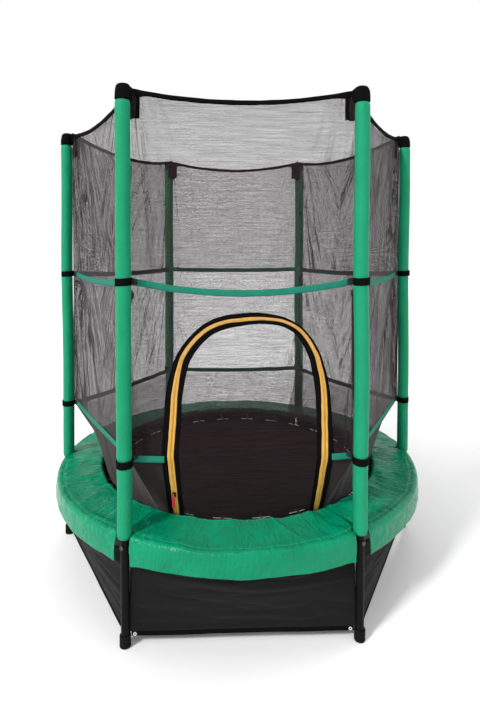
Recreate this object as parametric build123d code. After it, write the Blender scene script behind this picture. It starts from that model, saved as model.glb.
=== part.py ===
from build123d import *
import os
from math import asin, cos, radians, sin, sqrt, tan

os.makedirs("parts", exist_ok=True)

# A child's six-pole backyard trampoline, in millimetres.
# Origin: the centre of the ring on the ground. +Z is up and the door faces -Y.

# ---- driving dimensions -------------------------------------------------------------
SIDES = 6
POLE_R = 690.0            # circle through the pole and leg axes
TUBE_D = 25.0             # legs, poles and ring are all this tube
TUBE_WALL = 1.5
SPIGOT_GAP = 0.2          # all round, between a swaged end and the tube it enters

FOOT_H = 36.0
FOOT_D = 33.0
FOOT_FLOOR = 6.0          # rubber under the leg's end

RING_R = 655.0            # centreline of the round frame
RING_Z = 296.0
RING_JOINT_ANGLE = 15.0   # each ring joint is this far past a pole
RING_SPIGOT_ANGLE = 3.0

LEG_TOP_Z = 318.0
POLE_SPIGOT_Z = 262.0     # lowest point of the pole's swaged end, inside the leg
POLE_TOP_Z = 1606.0
BOLT_D = 6.0
BOLT_HEAD_D = 13.0
BOLT_HEAD_T = 4.0

FOAM_D = 45.0
FOAM_BOTTOM_Z = 322.0
FOAM_TOP_Z = 1581.0
HOOD_TOP_Z = 1629.0
HOOD_D = 44.0
HOOD_WALL = 1.5

MAT_R = 480.0
MAT_Z = 299.0             # underside
MAT_T = 2.0
WEBBING_W = 34.0
WEBBING_T = 1.5
LOOPS = 24
CORD_R = 3.0              # elastic cord
LOOP_IN_R = 470.0         # centre of the loop's turn through the mat
LOOP_TURN_R = 6.0
SLOT_LENGTH = 10.0
SLOT_W = 8.0

PAD_IN_R = 536.0
PAD_OUT_R = 702.0
PAD_Z = 317.0
PAD_T = 15.0
FLAP_T = 3.0
FLAP_BOTTOM_Z = 256.0
FLAP_HALF_ANGLE = 27.9    # the flap stops short of each pole
PAD_SLOT_R = 24.0
PAD_SEAM_ANGLE = 0.05

NET_APOTHEM = 567.0       # middle of the net's thickness, at the flat sides
NET_T = 2.0
NET_FOOT_R = 522.0        # the net's round lower edge, just inside the pad
NET_FOOT_Z = 318.0
LOW_BAND_Z = 540.0
MID_BAND_Z = 1065.0
BAND_W = 20.0
BAND_T = 1.5
BAND_LIFT = 2.0           # from the net's middle to the band's inner face
WRAP_W = 22.0
WRAP_T = 1.5
ROPE_Z = 1603.0
ROPE_R = 6.0
ROPE_TRIM = 8.0           # rope stops this far short of each corner
PATCH_W = 26.0
PATCH_BOTTOM_Z = 1535.0
PATCH_T = 1.2

ARCH_X = 16.0             # the door sits a little to one side of the middle
ARCH_HALF_W = 256.0       # outside of the door's black band, above the lower band
ARCH_FOOT_HALF_W = 246.0
ARCH_SPRING_Z = 712.0     # the arch is a half circle above this
DOOR_FOOT_Z = NET_FOOT_Z  # the flap reaches the net's lower edge
DOOR_GAP = 0.6
BAND_OUT_W = 17.0         # black band outside the zip tape
ZIP_HALF_W = 9.0
BAND_IN_W = 17.0

SLIDER_Z = 410.0
SLIDER_TOP_Z = 500.0      # second point of the slider's straight run
SLIDER_SIZE = (11.0, 15.0, 4.0)
SLIDER_CLEAR = 1.5
PIN_R = 1.0
EYE_R = 1.4
PULLER_W = 9.0
PULLER_T = 1.6
PULLER_L = 38.0

SKIRT_TOP_R = 677.0
SKIRT_TOP_Z = 276.0
SKIRT_BOTTOM_Z = 30.0
SKIRT_T = 2.0
HEM_H = 14.0
HEM_T = 4.0
LEG_CLEAR = 1.5
EYELET_R = 5.0
EYELET_T = 1.5

# ---- values that follow from them ---------------------------------------------------
STEP = 360.0 / SIDES
HALF = radians(STEP / 2)
POLES = {
    "right": 0,
    "rear_right": 60,
    "rear_left": 120,
    "left": 180,
    "front_left": 240,
    "front_right": 300,
}
PANELS = {
    "front": 0,
    "front_right": 60,
    "rear_right": 120,
    "rear": 180,
    "rear_left": 240,
    "front_left": 300,
}
ROPE_SAG = {
    "front": 16.0,
    "front_right": 12.0,
    "rear_right": 22.0,
    "rear": 24.0,
    "rear_left": 22.0,
    "front_left": 12.0,
}
MID_SAG = {
    "front": 37,
    "front_right": 18,
    "rear_right": 10,
    "rear": 6,
    "rear_left": 10,
    "front_left": 18,
}
LOW_SAG = 8.0
TUBE_R = TUBE_D / 2
BORE_R = TUBE_R - TUBE_WALL
SPIGOT_R = BORE_R - SPIGOT_GAP


def save(shape, name):
    """Write one node."""
    export_step(shape, f"parts/{name}.step")


def turned(shape, angle):
    """The shape turned about the trampoline's own axis."""
    return Rot(0, 0, angle) * shape


def post(radius, z_low, z_high, inner=0.0):
    """An upright rod or tube on the right-hand pole's axis."""
    section = Circle(radius)
    if inner:
        section -= Circle(inner)
    return Pos(POLE_R, 0, z_low) * extrude(section, z_high - z_low)


def radial_rod(radius, r_low, r_high, z):
    """A rod along the radius through the right-hand pole."""
    length = r_high - r_low
    return Pos((r_low + r_high) / 2, 0, z) * Rot(0, 90, 0) * Cylinder(radius, length)


# ---- steel frame --------------------------------------------------------------------
def ring_arc(outer, inner, start, sweep_angle):
    """Part of the round frame, as a tube bent round the Z axis."""
    section = Plane.XZ * Pos(RING_R, RING_Z) * (Circle(outer) - Circle(inner))
    return turned(revolve(section, Axis.Z, sweep_angle), start)


def ring_segment():
    """A sixth of the frame, with a swaged end that enters the next segment."""
    gap = 0.03
    tube = ring_arc(TUBE_R, BORE_R, RING_JOINT_ANGLE - STEP, STEP - gap)
    neck_start = RING_JOINT_ANGLE - gap
    neck = ring_arc(BORE_R, SPIGOT_R - TUBE_WALL, neck_start - 0.8, 0.8)
    spigot = ring_arc(SPIGOT_R, SPIGOT_R - TUBE_WALL, neck_start, RING_SPIGOT_ANGLE)
    hole = radial_rod(BOLT_D / 2 + 0.2, RING_R - TUBE_D, RING_R + TUBE_D, RING_Z)
    return tube + neck + spigot - hole


def leg():
    """A straight leg, drilled for its bolt."""
    tube = post(TUBE_R, FOOT_FLOOR, LEG_TOP_Z, BORE_R)
    return tube - radial_rod(BOLT_D / 2 + 0.2, POLE_R - TUBE_D, POLE_R + TUBE_D, RING_Z)


def pole():
    """A net pole whose swaged lower end drops into the leg."""
    tube = post(TUBE_R, LEG_TOP_Z + 0.5, POLE_TOP_Z, BORE_R)
    neck = post(BORE_R, LEG_TOP_Z + 0.5, LEG_TOP_Z + 6.5, SPIGOT_R - TUBE_WALL)
    spigot = post(SPIGOT_R, POLE_SPIGOT_Z, LEG_TOP_Z + 0.5, SPIGOT_R - TUBE_WALL)
    hole = radial_rod(BOLT_D / 2 + 0.2, POLE_R - TUBE_D, POLE_R + TUBE_D, RING_Z)
    return tube + neck + spigot - hole


def saddle():
    """The spacer between ring and leg, hollowed to fit both tubes."""
    block = Pos((RING_R + POLE_R) / 2, 0, RING_Z) * Box(POLE_R - RING_R, 20, 20)
    block = block.cut(ring_arc(TUBE_R + 0.1, 0.1, -STEP / 4, STEP / 2))
    block = block.cut(post(TUBE_R + 0.1, RING_Z - 30, RING_Z + 30))
    block = block.cut(radial_rod(BOLT_D / 2 + 0.2, RING_R, POLE_R, RING_Z))
    return block.solids().sort_by(SortBy.VOLUME)[-1]


def bolt():
    """A carriage bolt through leg, saddle and ring, with its nut on the inside."""
    head_r = POLE_R + TUBE_R + 0.2
    nut_r = RING_R - TUBE_R - 0.2
    shank = radial_rod(BOLT_D / 2, nut_r - 8, head_r + 1, RING_Z)
    head = radial_rod(BOLT_HEAD_D / 2, head_r, head_r + BOLT_HEAD_T, RING_Z)
    head = fillet(head.edges().sort_by(Axis.X)[-1], 2.0)
    nut = extrude(RegularPolygon(5.8, 6), 5)
    nut = Pos(nut_r - 5, 0, RING_Z) * Rot(0, 90, 0) * nut
    return shank + head + nut


def foot_cap():
    """A bulb-shaped rubber foot with a socket for the leg."""
    body = post(FOOT_D / 2, 0, FOOT_H)
    rims = body.edges().filter_by(GeomType.CIRCLE).sort_by(Axis.Z)
    body = fillet(rims[0], 4.0)
    body = fillet(body.edges().filter_by(GeomType.CIRCLE).sort_by(Axis.Z)[-1], 3.0)
    waist = Pos(POLE_R, 0, FOOT_H * 0.62) * Torus(FOOT_D / 2 + 3.4, 4.4)
    return body - waist - post(TUBE_R + 0.1, FOOT_FLOOR - 0.1, FOOT_H + 1)


def pole_plug():
    """The plastic plug in a pole's open top."""
    stem = post(BORE_R - 0.1, POLE_TOP_Z - 16, POLE_TOP_Z + 0.5)
    cap = post(TUBE_R, POLE_TOP_Z + 0.1, POLE_TOP_Z + 5)
    cap = fillet(cap.edges().sort_by(Axis.Z)[-1], 2.0)
    return stem + cap


def foam_sleeve():
    """The padded tube on a pole."""
    return post(FOAM_D / 2, FOAM_BOTTOM_Z, FOAM_TOP_Z, TUBE_R + 0.2)


# ---- jumping mat --------------------------------------------------------------------
def loop_slots(height):
    """Cutters for the slots that the elastic loops pass through."""
    slot_r = LOOP_IN_R - LOOP_TURN_R
    slot = Pos(slot_r, 0, MAT_Z) * Box(SLOT_LENGTH, SLOT_W, height)
    return [turned(slot, (i + 0.5) * 360 / LOOPS) for i in range(LOOPS)]


def mat():
    """The round mat, with a slot for each elastic."""
    disc = Pos(0, 0, MAT_Z) * extrude(Circle(MAT_R), MAT_T)
    return disc - loop_slots(20)


def mat_webbing():
    """The doubled band sewn round the mat's edge."""
    band = Circle(MAT_R) - Circle(MAT_R - WEBBING_W)
    return Pos(0, 0, MAT_Z + MAT_T) * extrude(band, WEBBING_T) - loop_slots(20)


def elastic_loop():
    """An elastic cord from the mat's slot round the frame tube and back."""
    centre_z = MAT_Z + (MAT_T + WEBBING_T) / 2
    turn_big = TUBE_R + CORD_R + 0.3
    span = RING_R - LOOP_IN_R
    drop = centre_z - RING_Z
    base = sqrt(span * span + drop * drop)
    tilt = -asin(drop / base)
    spread = asin((turn_big - LOOP_TURN_R) / base)

    def rim(centre_x, centre_height, radius, angle):
        return Vector(centre_x + radius * cos(angle), 0, centre_height + radius * sin(angle))

    up = radians(90) + tilt + spread
    down = radians(-90) + tilt - spread
    in_top = rim(LOOP_IN_R, centre_z, LOOP_TURN_R, up)
    in_end = rim(LOOP_IN_R, centre_z, LOOP_TURN_R, radians(180) + tilt)
    in_low = rim(LOOP_IN_R, centre_z, LOOP_TURN_R, down)
    out_top = rim(RING_R, RING_Z, turn_big, up)
    out_end = rim(RING_R, RING_Z, turn_big, tilt)
    out_low = rim(RING_R, RING_Z, turn_big, down)
    route = Wire(
        [
            Edge.make_line(in_top, out_top),
            Edge.make_three_point_arc(out_top, out_end, out_low),
            Edge.make_line(out_low, in_low),
            Edge.make_three_point_arc(in_low, in_end, in_top),
        ]
    )
    section = Plane(origin=in_top, z_dir=out_top - in_top) * Circle(CORD_R)
    return sweep(section, path=route)


# ---- safety pad ---------------------------------------------------------------------
def annular_sector(inner, outer, z_low, height, half_angle):
    """A flat ring sector whose middle faces -Y."""
    section = Plane.XZ * Pos((inner + outer) / 2, z_low + height / 2) * Rectangle(outer - inner, height)
    return turned(revolve(section, Axis.Z, 2 * half_angle), -90 - half_angle)


def pad_section():
    """A sixth of the spring pad with its hanging flap, notched at each pole."""
    top = annular_sector(PAD_IN_R, PAD_OUT_R, PAD_Z, PAD_T, STEP / 2 - PAD_SEAM_ANGLE)
    flap_h = PAD_Z - FLAP_BOTTOM_Z + 1
    flap = annular_sector(PAD_OUT_R - FLAP_T, PAD_OUT_R, FLAP_BOTTOM_Z, flap_h, FLAP_HALF_ANGLE)
    slot = Pos(POLE_R, 0, PAD_Z - 10) * extrude(Circle(PAD_SLOT_R), PAD_T + 20)
    mouth = Pos(POLE_R + PAD_SLOT_R, 0, PAD_Z + PAD_T / 2) * Box(2 * PAD_SLOT_R, 2 * PAD_SLOT_R, PAD_T + 20)
    notch = slot + mouth
    return top + flap - turned(notch, -90 - STEP / 2) - turned(notch, -90 + STEP / 2)


# ---- net ----------------------------------------------------------------------------
def side_prism(near, far, z_low, z_high):
    """A thin mitred slab along the front side, between two apothems."""
    outline = Polyline(
        (-near * tan(HALF), -near),
        (near * tan(HALF), -near),
        (far * tan(HALF), -far),
        (-far * tan(HALF), -far),
        close=True,
    )
    return Pos(0, 0, z_low) * extrude(make_face(outline), z_high - z_low)


def sagging_block(z_low, z_ends, sag, half_width):
    """Everything in front between a level floor and a sagging top."""
    rise = ThreePointArc((-half_width, z_ends), (0, z_ends - sag), (half_width, z_ends))
    frame = Polyline(
        (-half_width, z_ends), (-half_width, z_low), (half_width, z_low), (half_width, z_ends)
    )
    return extrude(Plane.XZ * make_face(rise + frame), POLE_R)


def sagging_strip(near, far, z_ends, sag, height):
    """A band along the front side, level at its ends and sagging between them."""
    half_width = far * tan(HALF) + 1
    slab = side_prism(near, far, z_ends - sag - height, z_ends + height)
    above = sagging_block(z_ends - sag - 2 * height, z_ends + height / 2, sag, half_width)
    below = sagging_block(z_ends - sag - 3 * height, z_ends - height / 2, sag, half_width)
    return slab & (above - below)


def net_side(sag):
    """One flat side of the net, from the lower band up to the sagging rope."""
    near = NET_APOTHEM - NET_T / 2
    far = NET_APOTHEM + NET_T / 2
    slab = side_prism(near, far, LOW_BAND_Z, ROPE_Z)
    return slab & sagging_block(LOW_BAND_Z - 1, ROPE_Z - ROPE_R - 0.3, sag, far)


def ruled_panel(z_straight, apothem, half_straight, z_round, radius, half_angle, thickness):
    """A ruled panel from a straight edge along the front to a round one."""
    near = apothem - thickness / 2
    far = apothem + thickness / 2
    inner = radius - thickness / 2
    outer = radius + thickness / 2
    straight = Wire(
        [
            Edge.make_line((-half_straight, -far, z_straight), (half_straight, -far, z_straight)),
            Edge.make_line((half_straight, -far, z_straight), (half_straight, -near, z_straight)),
            Edge.make_line((half_straight, -near, z_straight), (-half_straight, -near, z_straight)),
            Edge.make_line((-half_straight, -near, z_straight), (-half_straight, -far, z_straight)),
        ]
    )

    def on_circle(circle_r, angle):
        return (circle_r * sin(radians(angle)), -circle_r * cos(radians(angle)), z_round)

    curved = Wire(
        [
            Edge.make_three_point_arc(
                on_circle(outer, -half_angle), on_circle(outer, 0), on_circle(outer, half_angle)
            ),
            Edge.make_line(on_circle(outer, half_angle), on_circle(inner, half_angle)),
            Edge.make_three_point_arc(
                on_circle(inner, half_angle), on_circle(inner, 0), on_circle(inner, -half_angle)
            ),
            Edge.make_line(on_circle(inner, -half_angle), on_circle(outer, -half_angle)),
        ]
    )
    lower, upper = (curved, straight) if z_round < z_straight else (straight, curved)
    return Solid.make_loft([lower, upper], ruled=True)


def net_foot():
    """The sloping lower part of one side, from the hexagon in to the round pad."""
    half_width = (NET_APOTHEM - NET_T / 2) * tan(HALF) - 0.3
    return ruled_panel(
        LOW_BAND_Z - 0.2, NET_APOTHEM, half_width, NET_FOOT_Z, NET_FOOT_R, STEP / 2 - 0.1, NET_T
    )


def net_point(x, z):
    """A point on the middle of the front side's sloping lower part."""
    share = (LOW_BAND_Z - z) / (LOW_BAND_Z - NET_FOOT_Z)
    low, high = -1.0, 1.0
    for _ in range(50):
        u = (low + high) / 2
        reach = (1 - share) * u * NET_APOTHEM * tan(HALF) + share * NET_FOOT_R * sin(u * HALF)
        low, high = (u, high) if reach < x else (low, u)
    y = -(1 - share) * NET_APOTHEM - share * NET_FOOT_R * cos(u * HALF)
    return Vector(x, y, z)


def band_wrap(z):
    """A band's fabric sleeve round a foam-covered pole, with its tab to the net."""
    inner = FOAM_D / 2 + 0.3
    ring = post(inner + WRAP_T, z - WRAP_W / 2, z + WRAP_W / 2, inner)
    tab_near = (NET_APOTHEM + BAND_LIFT + BAND_T) / cos(HALF) + 0.6
    tab_far = POLE_R - inner - 0.3
    tab = Pos((tab_near + tab_far) / 2, 0, z) * Box(tab_far - tab_near, 12, BAND_W - 4)
    return ring + tab


def hood():
    """The fabric pocket that drops over a pole's top, with its tab to the rope."""
    inner = HOOD_D / 2 - HOOD_WALL
    shell = post(HOOD_D / 2, FOAM_TOP_Z + 2, HOOD_TOP_Z)
    shell = fillet(shell.edges().sort_by(Axis.Z)[-1], 6.0)
    shell -= post(inner, FOAM_TOP_Z + 1, HOOD_TOP_Z - 8)
    near = (NET_APOTHEM + ROPE_R) / cos(HALF) + 1
    far = POLE_R - inner - 0.5
    tab = Pos((near + far) / 2, 0, ROPE_Z - 6) * Box(far - near, 14, 24)
    return shell + tab


def rope_span(sag):
    """One side's length of the rope in the net's top hem."""
    half_width = NET_APOTHEM * tan(HALF) - ROPE_TRIM
    ends = (half_width, -NET_APOTHEM, ROPE_Z)
    middle = (0, -NET_APOTHEM, ROPE_Z - sag)
    start = (-half_width, -NET_APOTHEM, ROPE_Z)
    route = Edge.make_three_point_arc(start, middle, ends)
    section = Plane(origin=route @ 0, z_dir=route % 0) * Circle(ROPE_R)
    return sweep(section, path=route)


def corner_patches(sag):
    """The two fabric patches at one side's upper corners."""
    near = NET_APOTHEM + BAND_LIFT
    far = near + PATCH_T
    half_width = far * tan(HALF)
    slab = side_prism(near, far, PATCH_BOTTOM_Z, ROPE_Z)
    slab = slab & sagging_block(PATCH_BOTTOM_Z - 1, ROPE_Z - ROPE_R - 3, sag, half_width + 1)
    gap = Pos(0, -near, ROPE_Z) * Box(2 * (half_width - PATCH_W), 20, 400)
    return slab - gap


# ---- door ---------------------------------------------------------------------------
def arch_block(inset):
    """Everything in front that lies inside the arch, drawn in by an inset."""
    half = ARCH_HALF_W - inset
    foot = ARCH_FOOT_HALF_W - inset
    crown = CenterArc((ARCH_X, ARCH_SPRING_Z), half, 0, 180)
    legs = Polyline(
        (ARCH_X - half, ARCH_SPRING_Z),
        (ARCH_X - half, LOW_BAND_Z),
        (ARCH_X - foot, DOOR_FOOT_Z),
        (ARCH_X + foot, DOOR_FOOT_Z),
        (ARCH_X + half, LOW_BAND_Z),
        (ARCH_X + half, ARCH_SPRING_Z),
    )
    return extrude(Plane.XZ * make_face(crown + legs), POLE_R)


def front_shell():
    """The whole front of the net before the door is cut from it."""
    upper = net_side(ROPE_SAG["front"])
    join = side_prism(
        NET_APOTHEM - NET_T / 2, NET_APOTHEM + NET_T / 2, LOW_BAND_Z - 0.4, LOW_BAND_Z + 0.2
    )
    return upper + join + net_foot()


def door_strip(shell, inset_out, inset_in):
    """The part of the front that lies between two insets of the arch."""
    ring = arch_block(inset_out) - arch_block(inset_in)
    return shell & ring


def stripe_x(z):
    """Where the zip's left line lies at a height below the lower band."""
    share = (z - DOOR_FOOT_Z) / (LOW_BAND_Z - DOOR_FOOT_Z)
    half = ARCH_FOOT_HALF_W + share * (ARCH_HALF_W - ARCH_FOOT_HALF_W)
    return ARCH_X - (half - BAND_OUT_W - ZIP_HALF_W)


def slider_plane():
    """A plane on the zip at the slider: X across the tape, Y up it, Z outwards."""
    here = net_point(stripe_x(SLIDER_Z), SLIDER_Z)
    there = net_point(stripe_x(SLIDER_TOP_Z), SLIDER_TOP_Z)
    along = (there - here).normalized()
    across = net_point(stripe_x(SLIDER_Z) + 5, SLIDER_Z) - net_point(stripe_x(SLIDER_Z) - 5, SLIDER_Z)
    outwards = across.cross(along).normalized()
    origin = here + outwards * (NET_T / 2 + SLIDER_CLEAR)
    return Plane(origin=origin, x_dir=along.cross(outwards), z_dir=outwards)


def pin_centre():
    """The middle of the slider's cross pin."""
    plane = slider_plane()
    height = SLIDER_SIZE[2] + 3.8
    return plane.from_local_coords(Vector(0, SLIDER_SIZE[1] / 2 - 3.5, height))


def zip_slider():
    """The slider's body, with two ears and a cross pin for the puller."""
    width, length, height = SLIDER_SIZE
    plane = slider_plane()
    body = Pos(0, 0, height / 2) * Box(width, length, height)
    body = fillet(body.edges().filter_by(Axis.Z), 2.5)
    pin_y = length / 2 - 3.5
    pin_z = height + 3.8
    for side in (-1, 1):
        ear = Pos(side * 4.0, pin_y, (pin_z + 1) / 2 + 1) * Box(1.6, 4.0, pin_z - 1)
        body += ear
    body += Pos(0, pin_y, pin_z) * Rot(0, 90, 0) * Cylinder(PIN_R, 8.0)
    return plane * body


def zip_puller():
    """The red tab that hangs from the slider's pin."""
    across = slider_plane().x_dir
    flat = Vector(across.X, across.Y, 0).normalized()
    plane = Plane(origin=pin_centre(), x_dir=flat, z_dir=flat.cross(Vector(0, 0, -1)) * -1)
    eye = Rot(0, 90, 0) * Cylinder(3.0, 4.4)
    tab = Pos(0, -PULLER_L / 2 - 2, 0) * Box(PULLER_W, PULLER_L, PULLER_T)
    tab = fillet(tab.edges().filter_by(Axis.Z), 2.5)
    neck = Pos(0, -3.4, 0) * Box(4.4, 4.0, PULLER_T)
    eye_hole = Rot(0, 90, 0) * Cylinder(EYE_R, 12)
    return plane * (eye + tab.cut(Box(12, 9, 6)) + neck - eye_hole)


# ---- skirt --------------------------------------------------------------------------
def skirt_panel():
    """One cloth side of the skirt, straight at the ground and round at the top."""
    apothem = POLE_R * cos(HALF)
    half_width = POLE_R * sin(HALF) - TUBE_R - LEG_CLEAR
    half_angle = STEP / 2 - 1.6
    return ruled_panel(
        SKIRT_BOTTOM_Z + HEM_H, apothem, half_width, SKIRT_TOP_Z, SKIRT_TOP_R, half_angle, SKIRT_T
    )


def skirt_hem():
    """The bound lower edge of one skirt side."""
    apothem = POLE_R * cos(HALF)
    half_width = POLE_R * sin(HALF) - FOOT_D / 2 - LEG_CLEAR
    low = SKIRT_BOTTOM_Z + HEM_H / 2
    bar = Pos(0, -apothem, low) * Box(2 * half_width, HEM_T, HEM_H)
    return fillet(bar.edges().filter_by(Axis.X), 1.2)


def skirt_eyelets():
    """Two eyelets on one side's hem, one beside each leg."""
    apothem = POLE_R * cos(HALF)
    reach = POLE_R * sin(HALF) - FOOT_D / 2 - 12
    disc = Rot(90, 0, 0) * (Cylinder(EYELET_R, EYELET_T) - Cylinder(EYELET_R / 2, EYELET_T))
    out = apothem + HEM_T / 2 + EYELET_T / 2 + 0.1
    height = SKIRT_BOTTOM_Z + HEM_H / 2
    return [Pos(side * reach, -out, height) * disc for side in (-1, 1)]


# ---- write every node ---------------------------------------------------------------
def write_frame():
    """Ring, legs, poles, sleeves and their fittings."""
    segment = ring_segment()
    for name, angle in POLES.items():
        save(turned(segment, angle), f"ring_segment_{name}")
        save(turned(leg(), angle), f"leg_{name}")
        save(turned(pole(), angle), f"pole_{name}")
        save(turned(foam_sleeve(), angle), f"foam_sleeve_{name}")
    groups = {
        "leg_saddles": saddle(),
        "frame_bolts": bolt(),
        "foot_caps": foot_cap(),
        "pole_plugs": pole_plug(),
        "pole_hoods": hood(),
    }
    for name, piece in groups.items():
        save(Compound([turned(piece, angle) for angle in POLES.values()]), name)
    wraps = [turned(band_wrap(z), a) for z in (LOW_BAND_Z, MID_BAND_Z) for a in POLES.values()]
    save(Compound(wraps), "band_wraps")


def write_mat_and_pad():
    """Mat, edge webbing, elastics and the six pad sections."""
    save(mat(), "mat")
    save(mat_webbing(), "mat_webbing")
    loop = elastic_loop()
    save(Compound([turned(loop, (i + 0.5) * 360 / LOOPS) for i in range(LOOPS)]), "elastic_loops")
    for name, angle in PANELS.items():
        save(turned(pad_section(), angle), f"pad_section_{name}")


def write_net():
    """Net sides, bands, rope and patches; the front side is cut for the door."""
    near = NET_APOTHEM + BAND_LIFT
    doorway = arch_block(0)
    feet, ropes, patches, mid_bands, low_bands = [], [], [], [], []
    for name, angle in PANELS.items():
        side = net_side(ROPE_SAG[name])
        foot = net_foot()
        low_band = sagging_strip(near, near + BAND_T, LOW_BAND_Z, LOW_SAG, BAND_W)
        if name == "front":
            side = side - doorway
            foot = foot - doorway
            low_band = low_band - arch_block(-3)
        save(turned(side, angle), f"net_side_{name}")
        feet += turned(foot, angle).solids()
        ropes += turned(rope_span(ROPE_SAG[name]), angle).solids()
        patches += turned(corner_patches(ROPE_SAG[name]), angle).solids()
        mid_band = sagging_strip(near, near + BAND_T, MID_BAND_Z, MID_SAG[name], BAND_W)
        mid_bands += turned(mid_band, angle).solids()
        low_bands += turned(low_band, angle).solids()
    save(Compound(feet), "net_foot_panels")
    save(Compound(ropes), "top_rope")
    save(Compound(patches), "corner_patches")
    save(Compound(mid_bands), "mid_band")
    save(Compound(low_bands), "low_band")


def write_door():
    """Both halves of the zip, the bands beside them, the door's net and the slider."""
    shell = front_shell()
    zip_out = BAND_OUT_W
    zip_mid = BAND_OUT_W + ZIP_HALF_W
    zip_in = zip_mid + ZIP_HALF_W
    save(door_strip(shell, 0, zip_out), "door_band_outer")
    save(door_strip(shell, zip_out, zip_mid), "zip_tape_outer")
    save(door_strip(shell, zip_mid + DOOR_GAP, zip_in), "zip_tape_inner")
    save(door_strip(shell, zip_in, zip_in + BAND_IN_W), "door_band_inner")
    save(shell & arch_block(zip_in + BAND_IN_W), "door_net")
    save(zip_slider(), "zip_slider")
    save(zip_puller(), "zip_puller")


def write_skirt():
    """Cloth sides, hems and eyelets of the skirt."""
    panels, hems, eyelets = [], [], []
    for angle in PANELS.values():
        panels.append(turned(skirt_panel(), angle))
        hems.append(turned(skirt_hem(), angle))
        eyelets += [turned(disc, angle) for disc in skirt_eyelets()]
    save(Compound(panels), "skirt_panels")
    save(Compound(hems), "skirt_hems")
    save(Compound(eyelets), "skirt_eyelets")


write_frame()
write_mat_and_pad()
write_net()
write_door()
write_skirt()
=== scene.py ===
from math import cos, pi, radians, sin, tan

import bmesh
import bpy
import numpy as np
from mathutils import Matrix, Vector


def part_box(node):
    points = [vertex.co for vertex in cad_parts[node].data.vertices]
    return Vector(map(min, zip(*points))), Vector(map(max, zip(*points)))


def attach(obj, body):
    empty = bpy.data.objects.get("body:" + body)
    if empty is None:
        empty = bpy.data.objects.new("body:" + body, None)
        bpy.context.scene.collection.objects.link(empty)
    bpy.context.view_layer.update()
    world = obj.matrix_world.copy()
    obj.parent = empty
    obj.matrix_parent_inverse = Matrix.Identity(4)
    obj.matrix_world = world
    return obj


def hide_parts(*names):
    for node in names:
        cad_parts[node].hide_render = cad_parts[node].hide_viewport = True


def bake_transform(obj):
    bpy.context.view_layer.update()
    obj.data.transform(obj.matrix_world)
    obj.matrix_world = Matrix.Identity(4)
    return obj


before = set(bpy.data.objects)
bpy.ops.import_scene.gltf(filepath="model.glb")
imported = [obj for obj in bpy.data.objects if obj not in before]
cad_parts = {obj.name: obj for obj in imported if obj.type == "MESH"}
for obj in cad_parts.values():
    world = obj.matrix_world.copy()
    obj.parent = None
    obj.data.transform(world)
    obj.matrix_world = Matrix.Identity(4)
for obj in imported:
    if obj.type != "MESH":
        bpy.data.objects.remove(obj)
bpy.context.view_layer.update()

# ---- places and sizes, in metres, from the frame ------------------------------------
SIDES = ("front", "front_right", "rear_right", "rear", "rear_left", "front_left")
POLES = ("right", "rear_right", "rear_left", "left", "front_left", "front_right")
STEP = 2 * pi / 6
HALF = STEP / 2
UP = (0, 0, 1)


def middle(node):
    low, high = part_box(node)
    return (low + high) / 2


POLE_R = middle("leg_right").x
TUBE_R = (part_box("leg_right")[1].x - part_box("leg_right")[0].x) / 2
RING_R = 0.655
RING_Z = middle("ring_segment_right").z
FOAM_LOW, FOAM_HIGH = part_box("foam_sleeve_right")
FOAM_R = (FOAM_HIGH.y - FOAM_LOW.y) / 2
NET_A = -middle("net_side_front").y
NET_HALF_W = NET_A * tan(HALF)
NET_FOOT_R = 0.522
FOOT_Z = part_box("net_foot_panels")[0].z
LOW_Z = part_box("net_side_front")[0].z
WRAP_H = 0.022
MID_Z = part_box("band_wraps")[1].z - WRAP_H / 2
ROPE_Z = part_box("top_rope")[1].z - 0.006
HOOD_LOW, HOOD_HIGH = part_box("pole_hoods")
MAT_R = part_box("mat")[1].x
MAT_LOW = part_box("mat")[0].z
MAT_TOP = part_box("mat")[1].z
PAD_IN = 0.536
PAD_OUT = 0.702
PAD_SEAM_R = PAD_OUT - 0.024
PAD_LOW = 0.317
PAD_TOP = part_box("pad_section_front")[1].z
FLAP_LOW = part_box("pad_section_front")[0].z
SKIRT_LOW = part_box("skirt_hems")[0].z
SKIRT_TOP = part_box("skirt_panels")[1].z
SKIRT_TOP_R = 0.677
SKIRT_A = POLE_R * cos(HALF)
ARCH_X = middle("door_band_outer").x
ARCH_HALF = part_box("door_band_outer")[1].x - ARCH_X
ARCH_FOOT_HALF = ARCH_HALF - 0.010
ARCH_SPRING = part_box("door_band_outer")[1].z - ARCH_HALF
ZIP_INSET = 0.026           # from the door's outer line to the zip
BAND_W = 0.020
BAND_GAP = 0.0021          # from the net's middle to a band's inner face
TOP_SAG = {"front": 0.016, "front_right": 0.012, "rear_right": 0.022,
           "rear": 0.024, "rear_left": 0.022, "front_left": 0.012}
MID_SAG = {"front": 0.037, "front_right": 0.018, "rear_right": 0.010,
           "rear": 0.006, "rear_left": 0.010, "front_left": 0.018}
LOW_SAG = 0.008
WEBBING_W = 0.034
LOOPS = 24
LOOP_IN_R = 0.470           # where an elastic turns through the mat

# ---- camera, first ------------------------------------------------------------------
FOCAL_PIXELS = 492.2
camera_data = bpy.data.cameras.new("camera")
camera = bpy.data.objects.new("camera", camera_data)
bpy.context.scene.collection.objects.link(camera)
camera_data.sensor_width = 36.0
camera_data.lens = FOCAL_PIXELS * 36.0 / 720
camera_data.shift_y = -0.131
camera.location = (-0.058, -2.019, 1.144)
camera.rotation_euler = (radians(90 - 1.35), 0, radians(-1.93))
bpy.context.scene.camera = camera


# ---- number helpers -----------------------------------------------------------------
def smooth(t):
    t = np.clip(t, 0, 1)
    return t * t * (3 - 2 * t)


def hill(away, width):
    """A soft bump: 1 where away is 0, small beyond two widths."""
    return np.exp(-((away / width) ** 2))


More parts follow.
